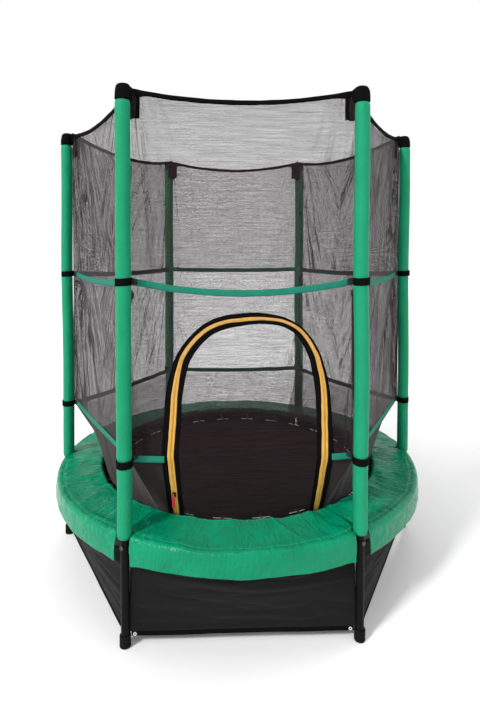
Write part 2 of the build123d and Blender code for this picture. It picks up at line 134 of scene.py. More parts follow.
def lattice(ix, iy, iz, seed):
    """A repeatable number from -1 to 1 for each lattice point."""
    n = ix * 374761393 + iy * 668265263 + iz * 1274126177 + seed * 974634777
    n = (n ^ (n >> 13)) * 1274126177
    n = n & 0xFFFFFFFF
    n = (n ^ (n >> 16)) & 0xFFFFFFFF
    return n / 2147483647.5 - 1


def value_noise(x, y, z=0.0, seed=0):
    """Smooth noise from -1 to 1 on arrays of coordinates."""
    x, y, z = np.broadcast_arrays(np.asarray(x, float), y, z)
    ix, iy, iz = (np.floor(c).astype(np.int64) for c in (x, y, z))
    fx, fy, fz = smooth(x - ix), smooth(y - iy), smooth(z - iz)
    total = np.zeros(x.shape)
    for dx in (0, 1):
        for dy in (0, 1):
            for dz in (0, 1):
                share = (fx if dx else 1 - fx) * (fy if dy else 1 - fy) * (fz if dz else 1 - fz)
                total += share * lattice(ix + dx, iy + dy, iz + dz, seed)
    return total


def layered_noise(x, y, z=0.0, seed=0, octaves=3):
    total = 0
    for k in range(octaves):
        total = total + value_noise(x * 2**k, y * 2**k, np.asarray(z) * 2**k, seed + 17 * k) / 2**k
    return total / 1.75


def turned(points, angle):
    """Points turned about the trampoline's axis."""
    c, s = cos(angle), sin(angle)
    out = np.array(points, float)
    out[..., 0] = c * points[..., 0] - s * points[..., 1]
    out[..., 1] = s * points[..., 0] + c * points[..., 1]
    return out


def polar(r, angle, z):
    """Points at radius r, angle and height z."""
    return np.stack(np.broadcast_arrays(r * np.cos(angle), r * np.sin(angle), z), -1)


# ---- mesh helpers -------------------------------------------------------------------
class Shape:
    """Vertices, faces and cloth coordinates that build up into one mesh."""

    def __init__(self):
        self.points, self.faces, self.cloth, self.tight, self.fan = [], [], [], [], []
        self.count = 0

    def add(self, points, faces, cloth=None, tight=None, fan=None):
        points = np.asarray(points, float).reshape(-1, 3)
        n = len(points)
        self.points.append(points)
        self.cloth.append(np.zeros((n, 3)) if cloth is None else np.asarray(cloth).reshape(-1, 3))
        self.tight.append(np.zeros(n) if tight is None else np.asarray(tight, float).reshape(-1))
        if fan is not None:
            self.fan.append(np.asarray(fan).reshape(-1, 3))
        self.faces += [tuple(int(i) + self.count for i in f) for f in faces]
        self.count += n

    def build(self, name, body="frame", slot=None, replaces=(), mat=None):
        mesh = bpy.data.meshes.new(name)
        points = np.concatenate(self.points)
        mesh.from_pydata(points.tolist(), [], self.faces)
        cloth = mesh.attributes.new("cloth", "FLOAT_VECTOR", "POINT")
        cloth.data.foreach_set("vector", np.concatenate(self.cloth).astype(np.float32).ravel())
        tight = mesh.attributes.new("tight", "FLOAT", "POINT")
        tight.data.foreach_set("value", np.concatenate(self.tight).astype(np.float32))
        if self.fan:
            fan = mesh.attributes.new("fan", "FLOAT_VECTOR", "POINT")
            fan.data.foreach_set("vector", np.concatenate(self.fan).astype(np.float32).ravel())
        mesh.shade_smooth()
        mesh.update()
        piece = bpy.data.objects.new(name, mesh)
        bpy.context.scene.collection.objects.link(piece)
        if mat:
            mesh.materials.append(mat)
        if body:
            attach(piece, body)
        if replaces:
            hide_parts(*replaces)
        return piece


def grid_faces(rows, cols, close_rows=False, close_cols=False, keep=None):
    """Quads of a grid of points stored row by row."""
    faces = []
    for i in range(rows if close_rows else rows - 1):
        for j in range(cols if close_cols else cols - 1):
            if keep is None or keep[i, j]:
                a, b = i * cols + j, i * cols + (j + 1) % cols
                c, d = (i + 1) % rows * cols + (j + 1) % cols, (i + 1) % rows * cols + j
                faces.append((a, b, c, d))
    return faces


def swept_faces(rows, cols, closed=False):
    """Faces of a closed section swept along a path, with end caps unless the path is a loop."""
    faces = grid_faces(rows, cols, close_rows=closed, close_cols=True)
    if not closed:
        faces.append(tuple(range(cols - 1, -1, -1)))
        faces.append(tuple(range((rows - 1) * cols, rows * cols)))
    return faces


def section_axes(path, up, closed):
    """The tall and the outward direction of a section at each point of a path."""
    if closed:
        ahead = np.roll(path, -1, 0) - np.roll(path, 1, 0)
    else:
        ahead = np.gradient(path, axis=0)
    ahead = ahead / np.linalg.norm(ahead, axis=1, keepdims=True)
    up = np.broadcast_to(np.asarray(up, float), path.shape)
    up = up - (up * ahead).sum(1, keepdims=True) * ahead
    up = up / np.linalg.norm(up, axis=1, keepdims=True)
    return up, np.cross(ahead, up)


def run_length(path):
    steps = np.linalg.norm(np.diff(path, axis=0), axis=1)
    return np.concatenate([[0], np.cumsum(steps)])


def add_tube(shape, path, up, half_up, half_out, sides=12, closed=False, power=1.0):
    """A tube of oval section along a path. up is the section's tall direction at each point."""
    path = np.asarray(path, float)
    up, out = section_axes(path, up, closed)
    half_up = np.broadcast_to(half_up, len(path))[:, None, None]
    half_out = np.broadcast_to(half_out, len(path))[:, None, None]
    angle = np.arange(sides) * 2 * pi / sides
    c, s = np.cos(angle), np.sin(angle)
    c = np.sign(c) * np.abs(c) ** power
    s = np.sign(s) * np.abs(s) ** power
    points = path[:, None] + half_up * c[None, :, None] * up[:, None]
    points = points + half_out * s[None, :, None] * out[:, None]
    cloth = np.zeros(points.shape)
    cloth[..., 0] = run_length(path)[:, None]
    cloth[..., 1] = angle * 0.5 * (half_up[:, :, 0] + half_out[:, :, 0])
    shape.add(points, swept_faces(len(path), sides, closed), cloth)


def add_ribbon(shape, path, up, half_w, thick, closed=False, across=5):
    """A flat strap along a path: tall direction up, with rounded edges."""
    path = np.asarray(path, float)
    up, out = section_axes(path, up, closed)
    half_w = np.broadcast_to(half_w, len(path))
    t = np.linspace(-1, 1, across)
    ring_t = np.concatenate([t, t[::-1]])
    ring_o = np.concatenate([np.full(across, 0.5), np.full(across, -0.5)])
    ring_o = ring_o * np.where(np.abs(ring_t) > 0.99, 0.45, 1.0)
    points = path[:, None] + half_w[:, None, None] * ring_t[None, :, None] * up[:, None]
    points = points + thick * ring_o[None, :, None] * out[:, None]
    cloth = np.zeros(points.shape)
    cloth[..., 0] = run_length(path)[:, None]
    cloth[..., 1] = half_w[:, None] * ring_t[None]
    shape.add(points, swept_faces(len(path), 2 * across, closed), cloth)


def add_stitches(shape, path, out, length=0.005, gap=0.003, radius=0.0004):
    """Short raised threads along a path."""
    path = np.asarray(path, float)
    out = np.broadcast_to(np.asarray(out, float), path.shape)
    along = run_length(path)
    count = int(along[-1] / (length + gap))
    for k in range(count):
        at = np.array([0.0, 0.5, 1.0]) * length + k * (length + gap)
        line = np.stack([np.interp(at, along, path[:, c]) for c in range(3)], 1)
        lift = np.stack([np.interp(at, along, out[:, c]) for c in range(3)], 1)
        line = line + lift * radius * np.array([[0.2], [1.1], [0.2]])
        add_tube(shape, line, lift, radius, radius * 1.4, sides=5)


# ---- materials ----------------------------------------------------------------------
class Nodes:
    """A small helper to write a node material."""

    def __init__(self, name, color, roughness, specular=0.5):
        self.mat = bpy.data.materials.new(name)
        self.mat.use_nodes = True
        self.tree = self.mat.node_tree
        self.bsdf = self.tree.nodes["Principled BSDF"]
        self.bsdf.inputs["Base Color"].default_value = (*color, 1)
        self.bsdf.inputs["Roughness"].default_value = roughness
        self.bsdf.inputs["Specular IOR Level"].default_value = specular

    def node(self, kind, **inputs):
        n = self.tree.nodes.new(kind)
        for key, value in inputs.items():
            if hasattr(n, key):
                setattr(n, key, value)
            else:
                n.inputs[key.replace("_", " ")].default_value = value
        return n

    def link(self, a, b):
        self.tree.links.new(a, b)

    def math(self, operation, a, b=None, c=None, clamp=False):
        n = self.tree.nodes.new("ShaderNodeMath")
        n.operation = operation
        n.use_clamp = clamp
        for i, v in enumerate((a, b, c)):
            if v is None:
                continue
            if isinstance(v, (int, float)):
                n.inputs[i].default_value = v
            else:
                self.link(v, n.inputs[i])
        return n.outputs[0]

    def coords(self, scale=(1, 1, 1), cloth=True):
        """Cloth coordinates, or the object's own, scaled."""
        if cloth:
            source = self.node("ShaderNodeAttribute", attribute_name="cloth").outputs["Vector"]
        else:
            source = self.node("ShaderNodeTexCoord").outputs["Object"]
        mapping = self.node("ShaderNodeMapping")
        mapping.inputs["Scale"].default_value = scale
        self.link(source, mapping.inputs["Vector"])
        return mapping.outputs["Vector"]

    def noise(self, vector, scale, detail=3.0, roughness=0.5):
        n = self.node("ShaderNodeTexNoise")
        n.inputs["Scale"].default_value = scale
        n.inputs["Detail"].default_value = detail
        n.inputs["Roughness"].default_value = roughness
        self.link(vector, n.inputs["Vector"])
        return n.outputs["Fac"]

    def tint(self, factor, dark, light):
        """Base colour between two colours by a factor."""
        mix = self.node("ShaderNodeMix", data_type="RGBA")
        mix.inputs[6].default_value = (*dark, 1)
        mix.inputs[7].default_value = (*light, 1)
        self.link(factor, mix.inputs[0])
        self.link(mix.outputs[2], self.bsdf.inputs["Base Color"])

    def rough(self, factor, low, high):
        out = self.math("MULTIPLY_ADD", factor, high - low, low)
        self.link(out, self.bsdf.inputs["Roughness"])

    def bump(self, height, strength, distance, before=None):
        n = self.node("ShaderNodeBump")
        n.inputs["Strength"].default_value = strength
        n.inputs["Distance"].default_value = distance
        self.link(height, n.inputs["Height"])
        if before is not None:
            self.link(before, n.inputs["Normal"])
        self.link(n.outputs["Normal"], self.bsdf.inputs["Normal"])
        return n.outputs["Normal"]

    def weave(self, pitch, cloth=True):
        """A plain weave's height: two crossing sets of threads that pass over and under."""
        vector = self.coords((1 / pitch, 1 / pitch, 1 / pitch), cloth)
        split = self.node("ShaderNodeSeparateXYZ")
        self.link(vector, split.inputs[0])
        x = self.math("SINE", self.math("MULTIPLY", split.outputs[0], pi))
        y = self.math("SINE", self.math("MULTIPLY", split.outputs[1], pi))
        over = self.math("MULTIPLY", x, y)
        return self.math("ABSOLUTE", over)


def fabric(name, dark, light, pitch, roughness=0.8, bump=0.5, sheen=0.2):
    """Woven cloth with threads at a pitch, and a faint uneven fleck."""
    m = Nodes(name, light, roughness, 0.3)
    weave = m.weave(pitch)
    fleck = m.noise(m.coords(), 30.0, 5.0, 0.6)
    shade = m.math("MULTIPLY_ADD", weave, 0.45, m.math("MULTIPLY", fleck, 0.75), clamp=True)
    m.tint(shade, dark, light)
    m.rough(fleck, roughness - 0.12, min(1.0, roughness + 0.12))
    first = m.bump(weave, bump, pitch * 0.35)
    m.bump(m.noise(m.coords(), 260.0, 4.0), 0.25, 0.0006, first)
    m.bsdf.inputs["Sheen Weight"].default_value = sheen
    m.bsdf.inputs["Sheen Roughness"].default_value = 0.5
    return m.mat


def film(name, dark, light, roughness, coat, crease, fine=0.3):
    """Shiny coated cloth, with sharp little creases and a faint weave that shows through."""
    m = Nodes(name, light, roughness, 0.5)
    broad = m.noise(m.coords(), 9.0, 4.0, 0.55)
    m.tint(broad, dark, light)
    m.rough(m.noise(m.coords(), 38.0, 4.0, 0.6), roughness - 0.08, roughness + 0.12)
    folded = m.noise(m.coords((1, 0.45, 1)), 30.0, 4.0, 0.62)
    away = m.math("ABSOLUTE", m.math("SUBTRACT", folded, 0.5))
    ridge = m.math("SUBTRACT", 1.0, m.math("MULTIPLY", away, 5.0), clamp=True)
    first = m.bump(m.math("POWER", ridge, 2.0), crease, 0.0028)
    second = m.bump(m.noise(m.coords((1, 0.5, 1)), 95.0, 4.0, 0.6), crease * 0.6, 0.0012, first)
    m.bump(m.weave(0.0009), fine, 0.0002, second)
    m.bsdf.inputs["Coat Weight"].default_value = coat
    m.bsdf.inputs["Coat Roughness"].default_value = 0.12
    return m.mat


def net_material(name, pitch=0.0024, thread=0.245):
    """Knitted mesh: real holes between threads, closer along creases and where it is gathered."""
    m = Nodes(name, (0.03, 0.024, 0.027), 0.85, 0.12)
    streak = m.noise(m.coords((0.16, 4.6, 0)), 46.0, 5.0, 0.72)
    speck = m.noise(m.coords((1, 1.7, 0)), 230.0, 2.0, 0.5)
    raw = m.node("ShaderNodeSeparateXYZ")
    m.link(m.coords(), raw.inputs[0])
    creased = raw.outputs[2]
    gather = m.node("ShaderNodeAttribute", attribute_name="tight").outputs["Fac"]
    fan = m.node("ShaderNodeAttribute", attribute_name="fan").outputs["Vector"]
    creases = 0.0
    for scale, sharp, share in ((8.5, 0.030, 0.62), (19.0, 0.034, 0.34)):
        wave = m.node("ShaderNodeTexNoise")
        wave.inputs["Scale"].default_value = scale
        wave.inputs["Detail"].default_value = 3.0
        wave.inputs["Distortion"].default_value = 0.12
        m.link(fan, wave.inputs["Vector"])
        away = m.math("ABSOLUTE", m.math("SUBTRACT", wave.outputs["Fac"], 0.5))
        line = m.math("SUBTRACT", 1.0, m.math("DIVIDE", away, sharp), clamp=True)
        creases = m.math("MULTIPLY_ADD", line, share, creases)
    patchy = m.noise(m.coords((1, 0.4, 0)), 7.0, 2.0)
    live = m.math("MULTIPLY", creased, m.math("MULTIPLY_ADD", patchy, 3.4, -0.9, clamp=True))
    width = m.math("MULTIPLY_ADD", m.math("SUBTRACT", streak, 0.5), 0.52, thread)
    width = m.math("MULTIPLY_ADD", m.math("SUBTRACT", speck, 0.5), 0.42, width)
    width = m.math("MULTIPLY_ADD", creases, live, width)
    width = m.math("MULTIPLY_ADD", gather, 0.17, width)
    bend = m.noise(m.coords((1, 1, 0)), 90.0, 2.0)
    split = m.node("ShaderNodeSeparateXYZ")
    m.link(m.coords((1 / pitch, 1 / pitch, 0)), split.inputs[0])
    x = m.math("FRACT", m.math("MULTIPLY_ADD", bend, 1.3, split.outputs[0]))
    y = m.math("FRACT", m.math("MULTIPLY_ADD", bend, 1.1, split.outputs[1]))
    solid = m.math("MAXIMUM", m.math("LESS_THAN", x, width), m.math("LESS_THAN", y, width))
    m.link(solid, m.bsdf.inputs["Alpha"])
    m.tint(streak, (0.008, 0.004, 0.005), (0.030, 0.017, 0.020))
    m.bsdf.inputs["Sheen Weight"].default_value = 0.1
    return m.mat


def hard(name, dark, light, low, high, grain=400.0, bump=0.1, metal=0.0):
    """Moulded or painted hard surface with a fine grain and a little wear."""
    m = Nodes(name, light, low, 0.5)
    m.bsdf.inputs["Metallic"].default_value = metal
    wear = m.noise(m.coords(cloth=False), 24.0, 5.0, 0.65)
    m.tint(wear, dark, light)
    m.rough(wear, low, high)
    m.bump(m.noise(m.coords(cloth=False), grain, 3.0), bump, 0.0005)
    return m.mat


MATS = {
    "net": net_material("net_mesh"),
    "sleeve": film("sleeve_film", (0.005, 0.195, 0.090), (0.010, 0.285, 0.140), 0.42, 0.0, 0.30, 0.15),
    "pad": film("pad_pvc", (0.0, 0.135, 0.062), (0.0, 0.285, 0.138), 0.16, 0.0, 0.75, 0.10),
    "band": fabric("green_webbing", (0.006, 0.10, 0.065), (0.02, 0.24, 0.165), 0.0016, 0.6, 0.6, 0.0),
    "black": fabric("black_cloth", (0.0012, 0.0012, 0.0014), (0.0055, 0.005, 0.0055), 0.0012, 0.8, 0.5, 0.0),
    "mat": fabric("mat_weave", (0.0045, 0.0018, 0.0018), (0.0100, 0.0050, 0.0048), 0.0022, 0.7, 0.5, 0.0),
    "skirt": fabric("skirt_cloth", (0.0028, 0.0028, 0.003), (0.0088, 0.0088, 0.0086), 0.0014, 0.75, 0.4, 0.03),
    "gold": fabric("gold_tape", (0.40, 0.20, 0.030), (0.76, 0.44, 0.095), 0.0010, 0.6, 0.5, 0.0),
    "cord": fabric("elastic_braid", (0.006, 0.006, 0.006), (0.045, 0.045, 0.043), 0.0012, 0.7, 0.7, 0.0),
    "thread": fabric("green_thread", (0.02, 0.25, 0.14), (0.08, 0.40, 0.26), 0.0004, 0.6, 0.3, 0.0),
    "white_thread": fabric("white_thread", (0.40, 0.40, 0.39), (0.72, 0.72, 0.70), 0.0004, 0.6, 0.3, 0.0),
    "foam": hard("foam_core", (0.02, 0.022, 0.02), (0.05, 0.055, 0.05), 0.85, 0.98, 900.0, 0.6),
    "tube": hard("black_powder_coat", (0.0015, 0.0015, 0.0015), (0.005, 0.005, 0.005), 0.34, 0.5),
    "rubber": hard("black_rubber", (0.002, 0.002, 0.002), (0.007, 0.007, 0.007), 0.62, 0.82, 700.0, 0.25),
    "plastic": hard("black_plastic", (0.003, 0.003, 0.003), (0.008, 0.008, 0.008), 0.42, 0.6),
    "zinc": hard("zinc_steel", (0.05, 0.052, 0.055), (0.11, 0.11, 0.115), 0.34, 0.52, 300.0, 0.1, 1.0),
    "teeth": hard("brass_teeth", (0.42, 0.22, 0.04), (0.72, 0.42, 0.09), 0.45, 0.6, 500.0, 0.1, 0.0),
    "slider": hard("black_lacquer", (0.006, 0.006, 0.006), (0.02, 0.02, 0.02), 0.25, 0.42, 300.0, 0.05, 0.5),
    "red": hard("red_pull", (0.22, 0.004, 0.006), (0.42, 0.01, 0.012), 0.3, 0.45),
    "white": hard("white_moulded", (0.45, 0.45, 0.44), (0.62, 0.62, 0.60), 0.32, 0.5),
}
SHINE = {"sleeve": 0.12, "pad": 0.15, "black": 0.03, "mat": 0.03, "skirt": 0.09,
         "band": 0.08, "gold": 0.08, "tube": 0.08, "rubber": 0.08, "plastic": 0.08}
for key, level in SHINE.items():
    MATS[key].node_tree.nodes["Principled BSDF"].inputs["Specular IOR Level"].default_value = level


def dress(node, key):
    """Give a CAD node a finished material."""
    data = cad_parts[node].data
    data.materials.clear()
    data.materials.append(MATS[key])


# ---- net ----------------------------------------------------------------------------
CORNER_PULL = 0.0125
CORNER_RISE = 0.017


def net_base(u, z):
    """A point on the front side's middle surface: u runs from -1 to 1 between corners."""
    share = np.clip((LOW_Z - z) / (LOW_Z - FOOT_Z), 0, 1)
    x = (1 - share) * u * NET_HALF_W + share * NET_FOOT_R * np.sin(u * HALF)
    y = -(1 - share) * NET_A - share * NET_FOOT_R * np.cos(u * HALF)
    pull = CORNER_PULL * (1 - share) * np.exp(-from_corner(u) / 0.018)
    return np.stack([x + pull * np.sign(u) * sin(HALF), y - pull * cos(HALF), z], -1)


def net_u(x, z):
    """The u of a point of the front side with that x and z."""
    share = np.clip((LOW_Z - z) / (LOW_Z - FOOT_Z), 0, 1)
    u = x / NET_HALF_W
    for _ in range(12):
        value = (1 - share) * u * NET_HALF_W + share * NET_FOOT_R * np.sin(u * HALF)
        slope = (1 - share) * NET_HALF_W + share * NET_FOOT_R * HALF * np.cos(u * HALF)
        u = u - (value - x) / slope
    return u


def folds_for(side, seed):
    """Fold lines of one side: (u at top, u at bottom, top z, bottom z, depth, width)."""
    rng = np.random.default_rng(seed)
    lines = []
    dense = {"front": 2, "rear": 2}.get(side, 7)
    widest = 0.2 + {"front": 0.15, "rear": 0.2}.get(side, 0.8)
    for end in (-1, 1):
        for _ in range(dense):
            top = end * (1 - rng.uniform(0.02, 0.12))
            low = end * (1 - rng.uniform(0.05, widest))
            z_top = ROPE_Z - rng.uniform(0.02, 0.2)
            z_low = rng.uniform(MID_Z - 0.1, MID_Z + 0.25)
            lines.append((top, low, z_top, z_low, rng.uniform(0.003, 0.007), rng.uniform(0.009, 0.015)))
            top = end * (1 - rng.uniform(0.02, 0.1))
            low = end * (1 - rng.uniform(0.05, widest))
            z_low = rng.uniform(LOW_Z + 0.02, MID_Z - 0.2)
            z_top = MID_Z - 0.01
            lines.append((top, low, z_top, z_low, rng.uniform(0.003, 0.007), rng.uniform(0.009, 0.015)))
    return lines


DENSITY = {"front": 0.38, "rear": -0.40, "rear_left": 0.30, "rear_right": 0.45, "front_right": 1.6,
           "front_left": 1.0}
FOOT_DENSITY = {"rear": 0.9, "rear_left": 1.2, "rear_right": 1.2}
CREASED = {"front": 0.0, "rear": 0.0, "rear_left": 0.55, "rear_right": 0.6, "front_right": 1.0,
           "front_left": 1.0}


def from_corner(u):
    """Distance along a side from its nearer corner."""
    return (1 - np.abs(u)) * NET_HALF_W


def net_relief(side, seed, u, z):
    """How far the net hangs inwards from its flat middle, and how gathered it is."""
    inward = 0.004 * (1 + layered_noise(u * 3.0, z * 2.0, seed, seed)) * (1 - u**2)
    for top, low, z_top, z_low, depth, width in folds_for(side, seed):
        t = (z_top - z) / (z_top - z_low)
        live = smooth(t / 0.12) * smooth((1 - t) / 0.25)
        centre = top + (low - top) * np.clip(t, 0, 1)
        centre = centre + 0.03 * value_noise(t * 3, depth * 900, width * 300, seed)
        inward = inward + depth * hill((u - centre) * NET_HALF_W, width) * live
    near_pole = np.exp(-from_corner(u) / 0.05)
    gather = DENSITY[side] + (0.25 if side in ("front", "rear") else 0.35) * near_pole
    for band_z in (LOW_Z, MID_Z):
        inward = inward * (1 - 0.75 * hill(z - band_z, 0.018))
    below = smooth((LOW_Z - z) / 0.03)
    gather = gather + FOOT_DENSITY.get(side, 3.0) * below
    gather = gather + 0.35 * np.exp(-(ROPE_Z - z) / 0.05)
    inward = inward * (1 - 0.6 * below) + below * 0.002 * (1 + value_noise(u * 16, z * 8, seed, 3))
    edge = smooth(from_corner(u) / 0.02)
    return inward * (0.25 + 0.75 * edge), np.clip(gather, -0.6, 3.8)


def fan_lines(u, z, seed):
    """Coordinates whose first number is constant along creases that fan out from each pole."""
    drop = np.where(z > MID_Z, ROPE_Z - z, np.where(z > LOW_Z, MID_Z - z, LOW_Z - z))
    spread = 0.35 + 1.3 * np.clip(drop, 0, 1)
    across = np.sign(u) * from_corner(u) / spread * 2.0
    return np.stack([across, z * 0.12, np.full(z.shape, 0.37 * seed)], -1)


def arch_inset(x, z):
    """How far inside the arch's outer line a point of the front lies (negative outside)."""
    lean = np.clip((LOW_Z - z) / (LOW_Z - FOOT_Z), 0, 1) * (ARCH_HALF - ARCH_FOOT_HALF)
    straight = ARCH_HALF - lean - np.abs(x - ARCH_X)
    crown = ARCH_HALF - np.hypot(x - ARCH_X, z - ARCH_SPRING)
    return np.where(z > ARCH_SPRING, crown, straight)


LEG_LOW = LOW_Z - FOOT_Z
LEG_HIGH = ARCH_SPRING - LOW_Z
CROWN = pi * (ARCH_HALF - ZIP_INSET)
ARCH_RUN = 2 * (LEG_LOW + LEG_HIGH) + CROWN


def arch_share(x, z):
    """Where along the arch a point lies: 0 at the left foot, 1 at the right foot."""
    leg = np.clip(z - FOOT_Z, 0, LEG_LOW + LEG_HIGH) / ARCH_RUN
    leg = np.where(x > ARCH_X, 1 - leg, leg)
    turn = np.arctan2(z - ARCH_SPRING, ARCH_X - x)
    crown = (LEG_LOW + LEG_HIGH + np.clip(turn / pi, 0, 1) * CROWN) / ARCH_RUN
    return np.where(z > ARCH_SPRING, crown, leg)


def by_share(share, *knots):
    """A smooth line through (share, value) knots."""
    at, value = zip(*knots)
    near = [np.interp(share + step, at, value) for step in (-0.02, -0.01, 0.0, 0.01, 0.02)]
    return sum(near) / 5


def slump(share):
    """How far the soft door's outline leaves the true arch: in at the hips, out at the shoulders."""
    return by_share(share, (0, 0), (0.15, -0.003), (0.25, 0.008), (0.30, 0.013), (0.36, 0.003),
                    (0.42, -0.006), (0.50, -0.001), (0.55, -0.009), (0.58, -0.015), (0.62, -0.008),
                    (0.66, 0.004), (0.70, 0.013), (0.76, 0.008), (0.85, 0), (1, 0))


def zip_line(share):
    """The zip's middle, from the door's outer line."""
    return by_share(share, (0, 0.026), (0.15, 0.027), (0.27, 0.027), (0.37, 0.017), (0.50, 0.020),
                    (0.58, 0.010), (0.66, 0.013), (0.73, 0.019), (0.85, 0.027), (1, 0.026))


def flap_line(share):
    """The inner edge of the flap's black band, from the door's outer line."""
    return by_share(share, (0, 0.049), (0.15, 0.052), (0.27, 0.051), (0.37, 0.043), (0.48, 0.038),
                    (0.58, 0.026), (0.66, 0.040), (0.73, 0.045), (0.85, 0.051), (1, 0.048))


def soft_inset(x, z):
    """How far inside the soft door's outline a point lies, and its share of the way round."""
    share = arch_share(x, z)
    return arch_inset(x, z) - slump(share), share


def top_line(side, u):
    """Height of the net's top edge."""
    return ROPE_Z - 0.004 + CORNER_RISE * u**2 - TOP_SAG[side] * (1 - u**2)


def net_sheet(side, index):
    """One side of the net, from the round foot to the top hem."""
    rows, cols = 170, 96
    u = np.linspace(-1, 1, cols)[None, :] * np.ones((rows, 1))
    t = np.linspace(0, 1, rows)[:, None]
    z = FOOT_Z + t * (top_line(side, u) - FOOT_Z)
    points = net_base(u, z)
    inward, gather = net_relief(side, index + 1, u, z)
    keep = None
    if side == "front":
        inset, share = soft_inset(points[..., 0], z)
        inward = inward * smooth((-inset - 0.004) / 0.07)
        inside = inset - zip_line(share)
        keep = (inside[:-1, :-1] + inside[1:, 1:]) / 2 < 0
    points[..., 1] += inward
    creased = CREASED[side] + 0.5 * np.exp(-from_corner(u) / 0.06)
    cloth = np.stack([u * NET_HALF_W, z, creased * smooth((z - LOW_Z + 0.03) / 0.05)], -1)
    shape = Shape()
    fan = fan_lines(u, z, index + 1)
    shape.add(turned(points, index * STEP), grid_faces(rows, cols, keep=keep), cloth, gather, fan)
    nodes = [f"net_side_{side}"] + (["net_foot_panels"] if side == "front" else [])
    piece = shape.build(f"net_{side}", "frame", "black_net", nodes, MATS["net"])
    clean_loose(piece)


def clean_loose(piece):
    """Drop points that no face uses."""
    bm = bmesh.new()
    bm.from_mesh(piece.data)
    loose = [v for v in bm.verts if not v.link_faces]
    if loose:
        bmesh.ops.delete(bm, geom=loose, context="VERTS")
        bm.to_mesh(piece.data)
    bm.free()


def side_path(index, z_ends, sag, out, count=48, reach=1.0, wave=0.0, seed=0):
    """A path along one flat side, sagging in the middle, out from the net's middle."""
    u = np.linspace(-reach, reach, count)
    z = z_ends - sag * (1 - u**2) + wave * value_noise(u * 6, 0.5, seed, seed)
    apothem = NET_A + out
    half = apothem * tan(HALF)
    path = np.stack([u * half, np.full(count, -apothem), z], -1)
    return turned(path, index * STEP)


def net_bands():
    """The green bands that hold the net to the poles at two heights."""
    middle_band, low_band = Shape(), Shape()
    thick = 0.0013
    out = BAND_GAP + thick / 2
    to_door = ARCH_HALF - 0.007
    for index, side in enumerate(SIDES):
        path = side_path(index, MID_Z, MID_SAG[side], out, wave=0.0012, seed=index)
        add_ribbon(middle_band, path[::-1], UP, BAND_W / 2, thick)
        path = side_path(index, LOW_Z, LOW_SAG, out, count=200, wave=0.001, seed=index + 9)
        runs = [path]
        if side == "front":
            runs = [path[path[:, 0] < ARCH_X - to_door], path[path[:, 0] > ARCH_X + to_door]]
        for run in runs:
            add_ribbon(low_band, run[::-1], UP, BAND_W / 2, thick)
    middle_band.build("mid_band_webbing", "frame", "green_webbing", ["mid_band"], MATS["band"])
    low_band.build("low_band_webbing", "frame", "green_webbing", ["low_band"], MATS["band"])


def band_wraps():
    """Black loops that tie each band's corner round its pole."""
    shape = Shape()
    radius = FOAM_R + 0.0012
    for index in range(6):
        for level, z in enumerate((LOW_Z, MID_Z)):
            a = np.arange(40) * 2 * pi / 40
            tilt = 0.0015 * np.sin(a + index + level)
            r = radius + 0.0004 * np.sin(3 * a + index * 2 + level)
            ring = np.stack([POLE_R + r * np.cos(a), r * np.sin(a), z + tilt], -1)
            add_ribbon(shape, turned(ring, index * STEP), UP, WRAP_H / 2, 0.0015, closed=True, across=7)
            near = (NET_A + BAND_GAP) / cos(HALF)
            far = POLE_R - radius + 0.001
            line = np.stack([np.linspace(near, far, 6), 0.0007 * np.sin(np.arange(6.0)), np.full(6, z)], -1)
            add_ribbon(shape, turned(line, index * STEP), UP, WRAP_H * 0.42, 0.003)
    shape.build("pole_wraps", "frame", "black_fabric", ["band_wraps"], MATS["black"])


def top_hem():
    """The bound top edge of the net, with its rope inside, rising to each pole's hood."""
    path, tall = [], []
    count, end = 60, 0.985
    thin, at_hood = 0.0070, 0.0135
    corner = 1 + 0.013 * cos(HALF) / NET_A
    top = np.array([[NET_HALF_W * corner, -NET_A * corner, ROPE_Z + CORNER_RISE]])
    for index, side in enumerate(SIDES):
        line = side_path(index, ROPE_Z, TOP_SAG[side], 0.0, count, end, wave=0.0012, seed=index + 31)[:-1]
        u = np.abs(np.linspace(-end, end, count)[:-1])
        line[:, 2] += CORNER_RISE * u**2
        path += [line, turned(top, index * STEP)]
        tall += [thin + 0.0055 * smooth((u - 0.80) / 0.2), [at_hood]]
    path, tall = np.concatenate(path), np.concatenate(tall)
    for _ in range(3):
        path = (np.roll(path, 1, 0) + 2 * path + np.roll(path, -1, 0)) / 4
    pinch = value_noise(np.arange(len(path)) * 0.35, 0.2, 0.1, 8)
    path[:, 2] -= tall - thin
    shape = Shape()
    add_tube(shape, path, UP, tall + 0.0006 * pinch, 0.0044 + 0.0005 * pinch, 16, True, 0.8)
    shape.build("top_hem", "frame", "black_fabric", ["top_rope"], MATS["black"])


